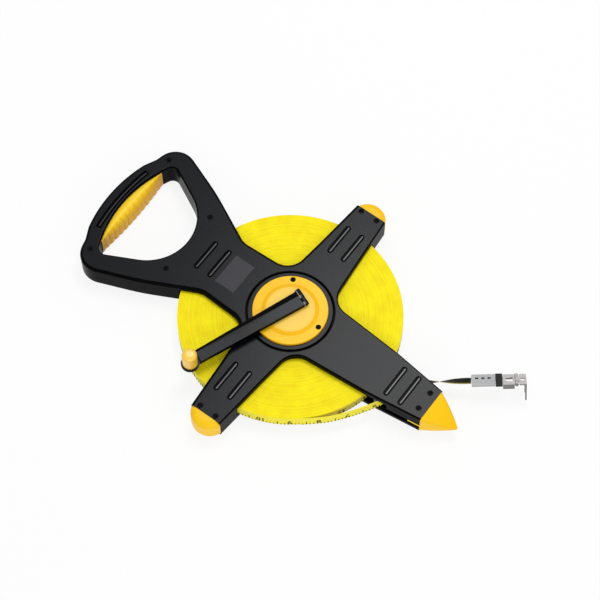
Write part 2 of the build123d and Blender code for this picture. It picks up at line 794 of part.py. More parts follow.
def hook_loop():
    """Stamped link with a tapered window and a turned-down edge on each side."""
    clear = claw_axis - claw_knuckle_radius - apart
    plate = make_face(Polyline((link_low, -half_hook), (claw_axis, -half_hook),
                               (claw_axis, half_hook), (link_low, half_hook), close=True))
    window = make_face(Polyline((link_low + 2.4, -1.6), (clear - 1.4, -centre_half),
                                (clear - 1.4, centre_half), (link_low + 2.4, 1.6), close=True))
    plate -= window
    plate -= Pos(claw_axis, 0) * Rectangle(2 * (claw_axis - clear), 2 * centre_half + 2 * apart)
    body = Pos(0, 0, -hook_sheet / 2) * extrude(plate, hook_sheet)
    for side in (-1, 1):
        edge = side * (half_hook - hook_sheet / 2)
        body += Pos((link_low + clear) / 2, edge, -hook_flange / 2) * Box(
            clear - link_low, hook_sheet, hook_flange)
        inner, outer = sorted((side * (centre_half + apart), side * half_hook))
        body += barrel(inner, outer)
        body -= Pos(claw_axis, 0, 0) * Rot(90, 0, 0) * Cylinder(claw_pin_radius + running, 40)
    return body


def hook_claw():
    """Plate beyond the pin with two prongs bent down to the ground."""
    body = barrel(-centre_half, centre_half)
    body += Pos((claw_axis + claw_knuckle_radius + claw_end) / 2 - 0.2, 0, 0) * Box(
        claw_end - claw_axis - claw_knuckle_radius + 0.4, 2 * centre_half, hook_sheet)
    start = claw_axis + claw_knuckle_radius + 2 * apart
    body += Pos((start + claw_end) / 2, 0, 0) * Box(claw_end - start, hook_width, hook_sheet)
    far_corner = end_plane.from_local_coords(Vector(claw_end, half_hook, 0))
    drop = far_corner.Z / cos(radians(end_tilt)) - 0.6
    for side in (-1, 1):
        middle = side * (half_hook - claw_prong / 2)
        prong = Pos(claw_end - hook_sheet / 2, middle, -drop / 2) * Box(
            hook_sheet, claw_prong, drop)
        tip = prong.edges().filter_by(Axis.X).group_by(Axis.Z)[0]
        body += fillet(tip, 0.4 * claw_prong)
    window = Pos((start + claw_end) / 2, 0) * Rectangle(claw_end - start - 2 * hook_sheet,
                                                        centre_half)
    return body - extrude(window, 3, both=True)


save(tape_run(), "tape_run", "gold")
save(end_plane * block(sleeve_low, sleeve_high, sleeve_width, sleeve_thick, 0.8),
     "end_sleeve", "white")
save(end_plane * block(band_low, band_high, band_width, band_thick, 1.2), "hook_band", "black")
save(end_plane * hook_loop(), "hook_loop", "silver")
save(end_plane * Pos(claw_axis, 0, 0) * Rot(90, 0, 0) * Cylinder(claw_pin_radius, hook_width),
     "claw_pin", "silver")
save(end_plane * hook_claw(), "hook_claw", "silver")
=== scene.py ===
import math
import random
import bpy
from mathutils import Matrix, Vector


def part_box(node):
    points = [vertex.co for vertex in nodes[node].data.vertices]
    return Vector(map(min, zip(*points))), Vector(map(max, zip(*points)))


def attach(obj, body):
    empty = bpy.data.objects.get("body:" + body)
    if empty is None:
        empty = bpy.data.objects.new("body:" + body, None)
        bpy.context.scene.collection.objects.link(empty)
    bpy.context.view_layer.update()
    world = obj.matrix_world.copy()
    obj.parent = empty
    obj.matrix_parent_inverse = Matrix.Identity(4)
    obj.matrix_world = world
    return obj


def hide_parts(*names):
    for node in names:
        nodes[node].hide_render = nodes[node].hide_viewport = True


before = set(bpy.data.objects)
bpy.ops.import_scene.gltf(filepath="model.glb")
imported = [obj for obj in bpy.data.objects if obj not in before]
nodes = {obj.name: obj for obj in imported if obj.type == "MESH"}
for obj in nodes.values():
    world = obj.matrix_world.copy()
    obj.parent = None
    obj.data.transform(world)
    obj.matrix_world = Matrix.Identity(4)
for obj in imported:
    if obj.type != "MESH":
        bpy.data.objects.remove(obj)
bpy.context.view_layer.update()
mm = 0.001


# ---- camera ----
camera = {
    "turn": 36.542,            # degrees round the spindle
    "height": 63.758,          # degrees above the table
    "distance": 1761.6,        # mm from the front face's centre, along the view
    "aside": (-8.58, -9.82),   # mm from that centre to the middle of the view, right and up
    "lens": 119.44,
    "sensor": 36,
    "farthest": 20,            # metres
}


def addCamera(values):
    turn, height = math.radians(values["turn"]), math.radians(values["height"])
    right = Vector((math.cos(turn), math.sin(turn), 0))
    away = Vector((-math.sin(turn), math.cos(turn), 0))
    upward = away * math.sin(height) + Vector((0, 0, 1)) * math.cos(height)
    back = -away * math.cos(height) + Vector((0, 0, 1)) * math.sin(height)
    aside = values["aside"]
    faceCentre = Vector((0, 0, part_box("back_frame")[1].z * 2))
    place = faceCentre - right * aside[0] * mm - upward * aside[1] * mm + back * values["distance"] * mm
    bpy.ops.object.camera_add(location=place)
    shot = bpy.context.object
    turned = Matrix((right, upward, back)).transposed().to_4x4()
    turned.translation = place
    shot.matrix_world = turned
    shot.data.lens = values["lens"]
    shot.data.sensor_width = values["sensor"]
    shot.data.clip_end = values["farthest"]
    bpy.context.scene.camera = shot


addCamera(camera)
print("camera set")


# ---- materials ----
def newMaterial(name):
    made = bpy.data.materials.new(name)
    made.use_nodes = True
    tree = made.node_tree
    coords = tree.nodes.new("ShaderNodeTexCoord")
    return made, tree, tree.nodes["Principled BSDF"], coords.outputs


def noiseOf(tree, coords, scale, detail=3.0):
    texture = tree.nodes.new("ShaderNodeTexNoise")
    texture.inputs["Scale"].default_value = scale
    texture.inputs["Detail"].default_value = detail
    tree.links.new(coords, texture.inputs["Vector"])
    return texture.outputs["Fac"]


def rampOf(tree, value, low, high, start=0.3, end=0.7):
    ramp = tree.nodes.new("ShaderNodeValToRGB")
    ramp.color_ramp.elements[0].position = start
    ramp.color_ramp.elements[0].color = (*low, 1)
    ramp.color_ramp.elements[1].position = end
    ramp.color_ramp.elements[1].color = (*high, 1)
    tree.links.new(value, ramp.inputs["Fac"])
    return ramp.outputs["Color"]


def rangeOf(tree, value, low, high, start=0.0, end=1.0):
    span = tree.nodes.new("ShaderNodeMapRange")
    span.inputs["From Min"].default_value = start
    span.inputs["From Max"].default_value = end
    span.inputs["To Min"].default_value = low
    span.inputs["To Max"].default_value = high
    tree.links.new(value, span.inputs["Value"])
    return span.outputs["Result"]


def mathOf(tree, kind, first, second=None):
    node = tree.nodes.new("ShaderNodeMath")
    node.operation = kind
    for socket, value in zip(node.inputs, (first, second)):
        if isinstance(value, (int, float)):
            socket.default_value = value
        elif value is not None:
            tree.links.new(value, socket)
    return node.outputs["Value"]


def mixOf(tree, share, low, high):
    mix = tree.nodes.new("ShaderNodeMix")
    mix.data_type = "RGBA"
    tree.links.new(share, mix.inputs["Factor"])
    for socket, value in ((mix.inputs[6], low), (mix.inputs[7], high)):      # its two colour sockets
        if isinstance(value, tuple):
            socket.default_value = (*value, 1)
        else:
            tree.links.new(value, socket)
    return mix.outputs[2]


def partOf(tree, vector, axis):
    parts = tree.nodes.new("ShaderNodeSeparateXYZ")
    tree.links.new(vector, parts.inputs["Vector"])
    return parts.outputs[axis]


def radiusOf(tree, coords, centre=(0, 0, 0)):
    flat = tree.nodes.new("ShaderNodeVectorMath")
    flat.operation = "MULTIPLY"
    flat.inputs[1].default_value = (1, 1, 0)
    tree.links.new(coords["Object"], flat.inputs[0])
    radius = tree.nodes.new("ShaderNodeVectorMath")
    radius.operation = "DISTANCE"
    radius.inputs[1].default_value = centre
    tree.links.new(flat.outputs["Vector"], radius.inputs[0])
    return radius.outputs["Value"]


def bumpOf(tree, height, shader, strength, distance):
    bump = tree.nodes.new("ShaderNodeBump")
    bump.inputs["Strength"].default_value = strength
    bump.inputs["Distance"].default_value = distance
    tree.links.new(height, bump.inputs["Height"])
    tree.links.new(bump.outputs["Normal"], shader.inputs["Normal"])


grainDeep = 0.0002             # metres, height of the fine grain on plastic
cloudScale = 22                # slow change of tone over a moulding
finishes = {
    "amber": {"low": (0.95, 0.54, 0.005), "high": (0.99, 0.61, 0.010), "rough": (0.24, 0.34),
              "grain": 500, "bump": 0.04, "gloss": 0.14},
    "knobAmber": {"low": (0.95, 0.56, 0.040), "high": (0.98, 0.64, 0.070), "rough": (0.27, 0.34),
                  "grain": 500, "bump": 0.02, "gloss": 1.0},
    "noseAmber": {"low": (0.96, 0.56, 0.004), "high": (1.00, 0.61, 0.008), "rough": (0.30, 0.42),
                  "grain": 500, "bump": 0.04, "gloss": 0.14},
    "gripAmber": {"low": (0.98, 0.62, 0.020), "high": (1.00, 0.70, 0.045), "rough": (0.26, 0.36),
                  "grain": 500, "bump": 0.04, "gloss": 0.16},
    "acetal": {"low": (0.70, 0.67, 0.58), "high": (0.78, 0.75, 0.66), "rough": (0.35, 0.45),
               "grain": 700, "bump": 0.05, "gloss": 0.5},
    "sleeveWhite": {"low": (0.42, 0.43, 0.44), "high": (0.52, 0.53, 0.54), "rough": (0.35, 0.5),
                    "grain": 900, "bump": 0.10, "gloss": 0.5},
    "bandRubber": {"low": (0.008, 0.008, 0.009), "high": (0.014, 0.014, 0.015), "rough": (0.55, 0.75),
                   "grain": 1800, "bump": 0.25, "gloss": 0.3},
    "plateGrey": {"low": (0.030, 0.030, 0.036), "high": (0.040, 0.040, 0.047), "rough": (0.24, 0.34),
                  "grain": 900, "bump": 0.06, "gloss": 0.14},
    "screwBlack": {"low": (0.002, 0.002, 0.002), "high": (0.005, 0.005, 0.006), "rough": (0.40, 0.60),
                   "grain": 1500, "bump": 0.15, "gloss": 0.05},
    "leaderBlack": {"low": (0.006, 0.007, 0.004), "high": (0.018, 0.019, 0.012), "rough": (0.35, 0.55),
                    "grain": 1200, "bump": 0.10, "gloss": 0.04},
    "leaderEdge": {"low": (0.20, 0.17, 0.035), "high": (0.34, 0.29, 0.060), "rough": (0.35, 0.55),
                   "grain": 1200, "bump": 0.10, "gloss": 0.15},
    "tapeYellow": {"low": (0.88, 0.76, 0.020), "high": (0.96, 0.85, 0.045), "rough": (0.40, 0.52),
                   "grain": 900, "bump": 0.06, "gloss": 0.15},
    "printBlack": {"low": (0.020, 0.018, 0.004), "high": (0.034, 0.030, 0.008), "rough": (0.50, 0.70),
                   "grain": 2500, "bump": 0.05, "gloss": 0.2},
}


def plastic(name):
    values = finishes[name]
    made, tree, shader, coords = newMaterial(name)
    cloudy = noiseOf(tree, coords["Object"], cloudScale)
    tree.links.new(rampOf(tree, cloudy, values["low"], values["high"]), shader.inputs["Base Color"])
    grain = noiseOf(tree, coords["Object"], values["grain"], 2)
    tree.links.new(rangeOf(tree, grain, *values["rough"]), shader.inputs["Roughness"])
    shader.inputs["Specular IOR Level"].default_value = values["gloss"]
    bumpOf(tree, grain, shader, values["bump"], grainDeep)
    return made


moulding = {
    "wall": (0.0014, 0.0014, 0.0017),      # sides and roundings, deep black: painted shade
    "face": ((0.0022, 0.0028, 0.0042), (0.0036, 0.0044, 0.0062)),
    "ribTop": ((0.035, 0.035, 0.038), (0.160, 0.160, 0.165)),  # paler from the handle to the nose: painted sheen on the rib's highlight line
    "ribRange": (-190 * mm, 60 * mm),
    "ribPairs": (-86.7, 0.0, 121.4),       # mm along the reel, middle of each pair of ribs
    "ribPitch": 15.0,
    "ribArc": (7.6, 200.7),                # mm, centre and radius of the curved rib on the bar
    "ribLine": (0.55, 0.65),               # mm, the painted highlight line's middle from the rib's, and its half width
    "ribSoft": 0.15,                       # mm, soft edge of the painted highlight line
    "ribFrom": (0.15 * mm, 0.35 * mm),     # above the face, where a rib's top begins
    "grooveTo": (-0.5 * mm, -0.3 * mm),    # below the face, where a groove's floor ends
    "innerFrom": 2 * mm,                   # soft edge at half depth, under which there are no grooves
    "flatFrom": (0.96, 0.995),             # how level a surface has to be to count as a face, steeper ones take the painted shade
    "ring": (37.3 * mm, 40.4 * mm),        # radius of the ring of painted shade where hub and frame meet
    "ringSoft": 0.3 * mm,
    "cloudy": (30, 5),                     # scale and detail
    "grain": (1500, 2),
    "bump": 0.10,
    "gloss": (0.02, 0.125),                # on the sides and on the faces
    "rough": (0.22, 0.31),
}


# painted highlight along the top of each rib
def wornLine(tree, coords, values):
    shift, half = values["ribLine"]
    centre, radius = values["ribArc"]
    off = mathOf(tree, "SUBTRACT", radiusOf(tree, coords, (centre * mm, 0, 0)), (radius - shift) * mm)
    nearest = mathOf(tree, "ABSOLUTE", off)
    for pair in values["ribPairs"]:
        for side in (-0.5, 0.5):
            place = (pair + side * values["ribPitch"] + shift) * mm
            off = mathOf(tree, "SUBTRACT", partOf(tree, coords["Object"], 0), place)
            nearest = mathOf(tree, "MINIMUM", nearest, mathOf(tree, "ABSOLUTE", off))
    return rangeOf(tree, nearest, 1, 0, (half - values["ribSoft"]) * mm, (half + values["ribSoft"]) * mm)


def besideRing(tree, coords, values):
    # 0 on the ring of painted shade round the gap between hub and frame, and 1 away from it
    start, end = values["ring"]
    off = mathOf(tree, "ABSOLUTE", mathOf(tree, "SUBTRACT", radiusOf(tree, coords), (start + end) / 2))
    reach = (end - start) / 2
    return rangeOf(tree, off, 0, 1, reach - values["ringSoft"], reach)


def ribsAndGrooves(tree, coords, values, faceTop):
    # two masks: 0 for painted shade in the grooves and on the black part of a rib's top, and 1 on its
    # painted highlight line
    height = partOf(tree, coords["Object"], 2)
    above = rangeOf(tree, height, 0, 1, *(faceTop + v for v in values["grooveTo"]))
    inside = rangeOf(tree, height, 1, 0, faceTop / 2, faceTop / 2 + values["innerFrom"])
    above = mathOf(tree, "MAXIMUM", above, inside)
    proud = rangeOf(tree, height, 0, 1, *(faceTop + v for v in values["ribFrom"]))
    ribHighlight = wornLine(tree, coords, values)
    ribShadedTop = mathOf(tree, "MULTIPLY", proud, mathOf(tree, "SUBTRACT", 1.0, ribHighlight))
    plain = mathOf(tree, "MULTIPLY", above, mathOf(tree, "SUBTRACT", 1.0, ribShadedTop))
    return plain, mathOf(tree, "MULTIPLY", proud, ribHighlight)


crankArm = {
    "angle": 248,              # degrees, the way the arm points
    "face": ((0.018, 0.020, 0.024), (0.024, 0.026, 0.031)),
    "half": 5 * mm,            # half of the land's width
    "wedge": 3.2 * mm,         # painted shade of the slope runs this far on to the land
    "wedgeAt": 48 * mm,
    "wedgeReach": 46 * mm,
    "wedgeSoft": 0.3 * mm,
    "darkAt": 50 * mm,         # from the spindle, where the painted shade on the land is deepest
    "darkReach": 40 * mm,
    "dark": 0.8,
    "lineAt": -12.4 * mm,      # painted highlight line beside the fold
    "lineWide": (0.25 * mm, 0.5 * mm),
    "line": (0.30, 0.27, 0.25),
}


def rubbedArm(tree, coords, colour, black, values):
    # painted shade on the slope and along the land, and a painted highlight beside the fold; the coordinates
    # are turned to lie along the arm
    turned = tree.nodes.new("ShaderNodeMapping")
    turned.inputs["Rotation"].default_value = (0, 0, math.radians(-values["angle"]))
    tree.links.new(coords["Object"], turned.inputs["Vector"])
    along = partOf(tree, turned.outputs["Vector"], 0)
    across = partOf(tree, turned.outputs["Vector"], 1)

    def awayFrom(place):
        return mathOf(tree, "ABSOLUTE", mathOf(tree, "SUBTRACT", along, values[place]))

    half, soft = values["half"], values["wedgeSoft"]
    edge = rangeOf(tree, awayFrom("wedgeAt"), values["wedge"] - half, -half, 0, values["wedgeReach"])
    over = mathOf(tree, "SUBTRACT", across, edge)
    colour = mixOf(tree, rangeOf(tree, over, 1, 0, -soft, soft), colour, black)
    dark = rangeOf(tree, awayFrom("darkAt"), values["dark"], 0, 0, values["darkReach"])
    colour = mixOf(tree, dark, colour, black)
    line = rangeOf(tree, awayFrom("lineAt"), 1, 0, *values["lineWide"])
    return mixOf(tree, line, colour, values["line"])


def mouldedGrey(name, values, faceTop=None, arm=None):
    made, tree, shader, coords = newMaterial(name)
    level = mathOf(tree, "ABSOLUTE", partOf(tree, coords["Normal"], 2))
    flat = rangeOf(tree, level, 0, 1, *values["flatFrom"])
    if arm is None:
        # painted shade round the gap where hub and frame meet
        flat = mathOf(tree, "MULTIPLY", flat, besideRing(tree, coords, values))
    if faceTop is not None:
        plain, ribHighlight = ribsAndGrooves(tree, coords, values, faceTop)
        flat = mathOf(tree, "MULTIPLY", flat, plain)
    cloudy = noiseOf(tree, coords["Object"], *values["cloudy"])
    face = values["face"] if arm is None else arm["face"]
    # level faces take the face tone, steeper sides and roundings the painted shade of wall
    colour = mixOf(tree, flat, values["wall"], rampOf(tree, cloudy, *face))
    # ribs: painted shade in the grooves and on the rib tops, and a painted highlight line on each
    if faceTop is not None:
        # painted sheen: the ribs' highlight grows paler towards the nose
        pale = rangeOf(tree, partOf(tree, coords["Object"], 0), 0, 1, *values["ribRange"])
        ribHighlight = mathOf(tree, "MULTIPLY", ribHighlight, flat)
        colour = mixOf(tree, ribHighlight, colour, mixOf(tree, pale, *values["ribTop"]))
    # painted shade and painted highlight on the crank arm
    if arm is not None:
        colour = rubbedArm(tree, coords, colour, values["wall"], arm)
    tree.links.new(colour, shader.inputs["Base Color"])
    grain = noiseOf(tree, coords["Object"], *values["grain"])
    tree.links.new(rangeOf(tree, grain, *values["rough"]), shader.inputs["Roughness"])
    tree.links.new(rangeOf(tree, flat, *values["gloss"]), shader.inputs["Specular IOR Level"])
    bumpOf(tree, grain, shader, values["bump"], grainDeep)
    return made


discTones = {
    "plateau": (19 * mm, 25 * mm),           # radii between which the painted sheen of the plateau fades
    "pale": (0.98, 0.64, 0.090),
    "slope": (0.93, 0.47, 0.004),            # painted shade, deeper where the plateau falls to the rim
    "level": (0.93, 0.996),
}
gripTones = {
    "slope": (0.96, 0.50, 0.005),            # painted shade, deeper on the flank with the finger ribs
    "level": (0.10, 0.80),
}


def deeperSides(name, plain, values):
    made = plain.copy()
    made.name = name
    tree = made.node_tree
    coords = next(n for n in tree.nodes if n.type == "TEX_COORD").outputs
    shader = tree.nodes["Principled BSDF"]
    colour = shader.inputs["Base Color"].links[0].from_socket
    # painted sheen, palest on the plateau
    if "plateau" in values:
        centre = rangeOf(tree, radiusOf(tree, coords), 1, 0, *values["plateau"])
        colour = mixOf(tree, centre, colour, values["pale"])
    # painted shade where the surface slopes away from level
    level = rangeOf(tree, partOf(tree, coords["Normal"], 2), 1, 0, *values["level"])
    tree.links.new(mixOf(tree, level, colour, values["slope"]), shader.inputs["Base Color"])
    return made


brushing = {
    "satinSteel": {"low": (0.40, 0.385, 0.38), "high": (0.66, 0.64, 0.63), "turn": 36.5},
    "darkSteel": {"low": (0.010, 0.010, 0.011), "high": (0.022, 0.022, 0.023), "turn": crankArm["angle"]},
    "stretch": (300, 2600, 2600),            # along the brushing and across it
    "detail": 4,
    "edge": 0.25,                            # painted shade on the sides: share of the darker tone that they keep
    "edgeLevel": (0.3, 0.75),
    "rough": (0.24, 0.42),
    "bump": (0.10, 0.0001),
}


def brushedSteel(name, values):
    made, tree, shader, coords = newMaterial(name)
    low, high = values[name]["low"], values[name]["high"]
    shader.inputs["Metallic"].default_value = 1
    stretch = tree.nodes.new("ShaderNodeMapping")
    stretch.inputs["Scale"].default_value = values["stretch"]
    stretch.inputs["Rotation"].default_value = (0, 0, math.radians(-values[name]["turn"]))
    tree.links.new(coords["Object"], stretch.inputs["Vector"])
    lines = noiseOf(tree, stretch.outputs["Vector"], 1, values["detail"])
    level = mathOf(tree, "ABSOLUTE", partOf(tree, coords["Normal"], 2))
    # sides darker than level faces: painted shade
    side = rangeOf(tree, level, 1, 0, *values["edgeLevel"])
    edge = tuple(c * values["edge"] for c in low)
    tree.links.new(mixOf(tree, side, rampOf(tree, lines, low, high), edge), shader.inputs["Base Color"])
    tree.links.new(rangeOf(tree, lines, *values["rough"]), shader.inputs["Roughness"])
    bumpOf(tree, lines, shader, *values["bump"])
    return made


windings = {
    "low": (0.89, 0.70, 0.002),
    "high": (1.0, 0.87, 0.008),
    "tones": (0.36, 0.60),                   # where low ends and high begins
    "turns": (800, 5),                       # scale and detail of the pattern of turns
    "cloudy": (90, 6),
    "hidden": (41 * mm, 43 * mm),            # radius where the hub's shade ends
    "rough": (0.46, 0.60),
    "gloss": 0.10,
    "bump": 0.35,
}


def woundTape(values):
    made, tree, shader, coords = newMaterial("woundTape")
    radius = radiusOf(tree, coords)
    turns = tree.nodes.new("ShaderNodeTexNoise")
    turns.noise_dimensions = "1D"
    turns.inputs["Scale"].default_value, turns.inputs["Detail"].default_value = values["turns"]
    tree.links.new(radius, turns.inputs["W"])
    cloudy = noiseOf(tree, coords["Object"], *values["cloudy"])
    tone = mathOf(tree, "MULTIPLY", mathOf(tree, "ADD", turns.outputs["Fac"], cloudy), 0.5)
    colour = rampOf(tree, tone, values["low"], values["high"], *values["tones"])
    hidden = rangeOf(tree, radius, 1, 0, *values["hidden"])
    colour = mixOf(tree, hidden, colour, moulding["wall"])
    tree.links.new(colour, shader.inputs["Base Color"])
    tree.links.new(rangeOf(tree, cloudy, *values["rough"]), shader.inputs["Roughness"])
    shader.inputs["Specular IOR Level"].default_value = values["gloss"]
    bumpOf(tree, turns.outputs["Fac"], shader, values["bump"], grainDeep)
    return made


grey = mouldedGrey("mouldedGrey", moulding)
frontGrey = mouldedGrey("frontGrey", moulding, faceTop=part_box("label_plate")[1].z)
armGrey = mouldedGrey("armGrey", moulding, arm=crankArm)
ready = {name: plastic(name) for name in finishes}
discAmber = deeperSides("discAmber", ready["amber"], discTones)
gripAmber = deeperSides("ribbedAmber", ready["gripAmber"], gripTones)
steel = brushedSteel("satinSteel", brushing)
darkSteel = brushedSteel("darkSteel", brushing)
coilYellow = woundTape(windings)

finishOf = {
    "front_frame": frontGrey, "back_frame": grey, "spool_core": grey, "crank_hub": grey,
    "crank_arm": armGrey, "crank_bracket": darkSteel, "hinge_pin": darkSteel,
    "upper_bumper": ready["amber"], "lower_bumper": ready["amber"], "ground_nose": ready["noseAmber"],
    "handle_grip": gripAmber, "crank_disc": discAmber, "crank_knob": ready["knobAmber"],
    "rear_bush": ready["acetal"], "front_bush": ready["acetal"], "thrust_washer": ready["acetal"],
    "label_plate": ready["plateGrey"], "frame_screws": ready["screwBlack"],
    "disc_screws": ready["screwBlack"], "end_sleeve": ready["sleeveWhite"],
    "hook_band": ready["bandRubber"], "tape_coil": coilYellow,
}
for name, node in nodes.items():
    node.data.materials.clear()
    node.data.materials.append(finishOf.get(name, steel))
print("materials given to", len(nodes), "nodes")


# ---- shared ways of making pieces ----
smoothUnder = 30               # degrees, sharper corners stay sharp


def softBlock(size, shift, soften, segments):
    bpy.ops.object.select_all(action="DESELECT")
    bpy.ops.mesh.primitive_cube_add(size=1, location=(0, 0, 0))
    block = bpy.context.object
    bpy.ops.object.mode_set(mode="EDIT")
    bpy.ops.transform.resize(value=size)
    bpy.ops.transform.translate(value=shift)
    bpy.ops.mesh.bevel(offset=soften, segments=segments, affect="EDGES")
    bpy.ops.object.mode_set(mode="OBJECT")
    return block


def copyOf(model):
    copy = model.copy()
    copy.data = model.data.copy()
    bpy.context.scene.collection.objects.link(copy)
    return copy


def joined(name, parts, finish):
    bpy.ops.object.select_all(action="DESELECT")
    for part in parts:
        part.select_set(True)
    bpy.context.view_layer.objects.active = parts[0]
    bpy.ops.object.join()
    piece = bpy.context.object
    piece.name = name
    piece.data.materials.clear()
    piece.data.materials.append(finish)
    return piece


def skin(name, loops):
    # closed loops of as many corners each, joined one to the next and capped at both ends
    count = len(loops[0])
    corners = [corner for loop in loops for corner in loop]
    faces = []
    for n in range(count, len(corners), count):
        for k in range(count):
            faces.append((n - count + k, n - count + (k + 1) % count, n + (k + 1) % count, n + k))
    faces += [tuple(reversed(range(count))), tuple(range(len(corners) - count, len(corners)))]
    mesh = bpy.data.meshes.new(name)
    mesh.from_pydata(corners, [], faces)
    piece = bpy.data.objects.new(name, mesh)
    bpy.context.scene.collection.objects.link(piece)
    bpy.ops.object.select_all(action="DESELECT")
    piece.select_set(True)
    bpy.context.view_layer.objects.active = piece
    bpy.ops.object.mode_set(mode="EDIT")
    bpy.ops.mesh.select_all(action="SELECT")
    bpy.ops.mesh.normals_make_consistent(inside=False)
    bpy.ops.object.mode_set(mode="OBJECT")
    bpy.ops.object.shade_smooth_by_angle(angle=math.radians(smoothUnder))
    return piece


# ---- grip ----
grip = {
    "barX": -188.5,            # mm, the side against the bar
    "barRound": 118.0,
    "half": 45.0,
    "shownHalf": 43.8,         # half of the length, where the ends are cut
    "crown": -176.9,           # middle of the side towards the hand
    "low": 2.0,
    "top": 23.8,
    "crest": 0.42,             # share of the width where the flank begins
    "crestDrop": 0.4,          # height lost from the crest to half way to the bar
    "flank": 10.0,             # height of the rounded flank
    "flankSteps": 12,
    "foot": 5.0,               # height of a row of corners above the underside
    "edge": (1.2, 0.2),        # rounding of the edges in mm, and its most as a share of the width
    "ribs": 13,
    "ribPitch": 6.3,
    "ribDeep": 1.0,
    "ribMost": 0.4,            # share of the width that a valley may take
    "ribFade": 5,              # steps down the flank where a valley gets its full depth
    "stations": 224,
}


def gripSection(values, y):
    # the bar's side is an arc of one radius, and the hand's side one through the ends and the crown
    barX, barRound, half = values["barX"], values["barRound"], values["half"]
    outer = barX + barRound - math.sqrt(barRound ** 2 - y * y)
    rise = values["crown"] - (barX + barRound - math.sqrt(barRound ** 2 - half ** 2))
    radius = (rise ** 2 + half ** 2) / (2 * rise)
    wide = values["crown"] - radius + math.sqrt(radius ** 2 - y * y) - outer
    share = (y / values["ribPitch"] + 0.5) % 1
    ribbed = abs(y) < values["ribPitch"] * values["ribs"] / 2
    deep = values["ribDeep"] * (1 - math.sqrt(max(0, 1 - (2 * share - 1) ** 2))) if ribbed else 0
    deep = min(deep, wide * values["ribMost"])
    crest, low, top, flank = wide * values["crest"], values["low"], values["top"], values["flank"]
    edge, most = values["edge"]
    points = [(0, low), (0, top - edge), (crest * 0.5, top - values["crestDrop"])]
    for k in range(values["flankSteps"] + 1):
        turn = math.radians(90 - 90 / values["flankSteps"] * k)
        across, up = math.cos(turn), math.sin(turn)
        fall = deep * min(1, k / values["ribFade"])
        x = crest + (wide - crest) * across - across * fall
        points.append((x, top - flank + flank * up - up * fall))
    side = wide - deep
    points += [(side, low + values["foot"]), (side, low + edge), (side - min(edge, wide * most), low)]
    return [Vector((outer + x, y, z)) * mm for x, z in points]


def buildGrip(values):
    reach, count = values["shownHalf"], values["stations"]
    piece = skin("ribbedGrip", [gripSection(values, reach * (2 * i / count - 1)) for i in range(count + 1)])
    piece.data.materials.append(gripAmber)
    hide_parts("handle_grip")
    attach(piece, "frame")
    print("grip", len(piece.data.polygons), "faces")


buildGrip(grip)


# ---- tape ----
tape = {
    "route": [(66.1, -76.0), (78.5, -65.9), (89.0, -55.0), (99.5, -41.0), (112.0, -21.0),
              (129.5, 18.0), (139.1, 25.1)],     # mm, from the coil to the nose arm's far side
    "end": (165.0, 43.0, 17.6),                  # where it goes into the sleeve
    "endHeading": 36.5,
    "endClimb": 3.7,
    "endTilt": 24.0,
    "width": 13.0,
    "thick": 0.35,
    "twistFrom": 0.70,                           # share of the length where the twist begins
    "leaderFrom": 0.53,                          # share where the black leader begins
    "leaderWide": 0.58,                          # width of the leader at the sleeve, to the tape's
    "strips": (-1.0, -0.62, 0.0, 0.72, 1.0),     # across the width, the last one is the pale edge
    "pastEnd": 51.4,                             # mm of sleeve, band and hook up to the zero mark
    "steps": 12,                                 # between two points of the route
}
middle = (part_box("tape_coil")[0].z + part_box("tape_coil")[1].z) / 2


def endFrame(values):
    climb, heading, tilt = (math.radians(values[k]) for k in ("endClimb", "endHeading", "endTilt"))
    level = math.cos(climb)
    along = Vector((level * math.cos(heading), level * math.sin(heading), math.sin(climb)))
    near = Vector((math.sin(heading), -math.cos(heading), 0))
    wide = near * math.cos(tilt) + near.cross(along) * math.sin(tilt)
    return along, wide


def routeLine(values):
    points = [Vector((x * mm, y * mm, middle)) for x, y in values["route"]]
    last = Vector(values["end"]) * mm
    points += [points[-1].lerp(last, 0.5), last]       # straight from the nose arm to the sleeve
    curve = bpy.data.curves.new("tapeRoute", "CURVE")
    curve.dimensions = "3D"
    curve.resolution_u = values["steps"]
    spline = curve.splines.new("NURBS")
    spline.points.add(len(points) - 1)
    for point, place in zip(spline.points, points):
        point.co = (*place, 1)
    spline.order_u = 3
    spline.use_endpoint_u = True
    holder = bpy.data.objects.new("tapeRoute", curve)
    bpy.context.scene.collection.objects.link(holder)
    line = bpy.data.meshes.new_from_object(holder)
    centre = [v.co.copy() for v in line.vertices]
    bpy.data.objects.remove(holder)
    return centre


def sectionsOf(values, centre):
    # place, share of the length, direction across the width and out of the printed face
    lengths = [0.0]
    for a, b in zip(centre, centre[1:]):
        lengths.append(lengths[-1] + (b - a).length)
    endWide = endFrame(values)[1]
    sections = []
    for i, place in enumerate(centre):
        before, after = centre[max(i - 1, 0)], centre[min(i + 1, len(centre) - 1)]
        along = (after - before).normalized()
        part = max(0.0, (lengths[i] / lengths[-1] - values["twistFrom"]) / (1 - values["twistFrom"]))
        part = part * part * (3 - 2 * part)              # eases the twist in and out
        wide = (Vector((0, 0, 1)) * (1 - part) + endWide * part).normalized()
        wide = (wide - along * wide.dot(along)).normalized()
        sections.append((place, lengths[i], wide, along.cross(wide)))
    return sections, lengths[-1]


def placeOnRun(sections, values, run, across, lift):
    for (p0, l0, w0, f0), (p1, l1, w1, f1) in zip(sections, sections[1:]):
        if run <= l1:
            break
    part = (run - l0) / (l1 - l0)
    wide, face = w0.lerp(w1, part), f0.lerp(f1, part)
    return p0.lerp(p1, part) + wide * across + face * (values["thick"] * mm / 2 + lift)


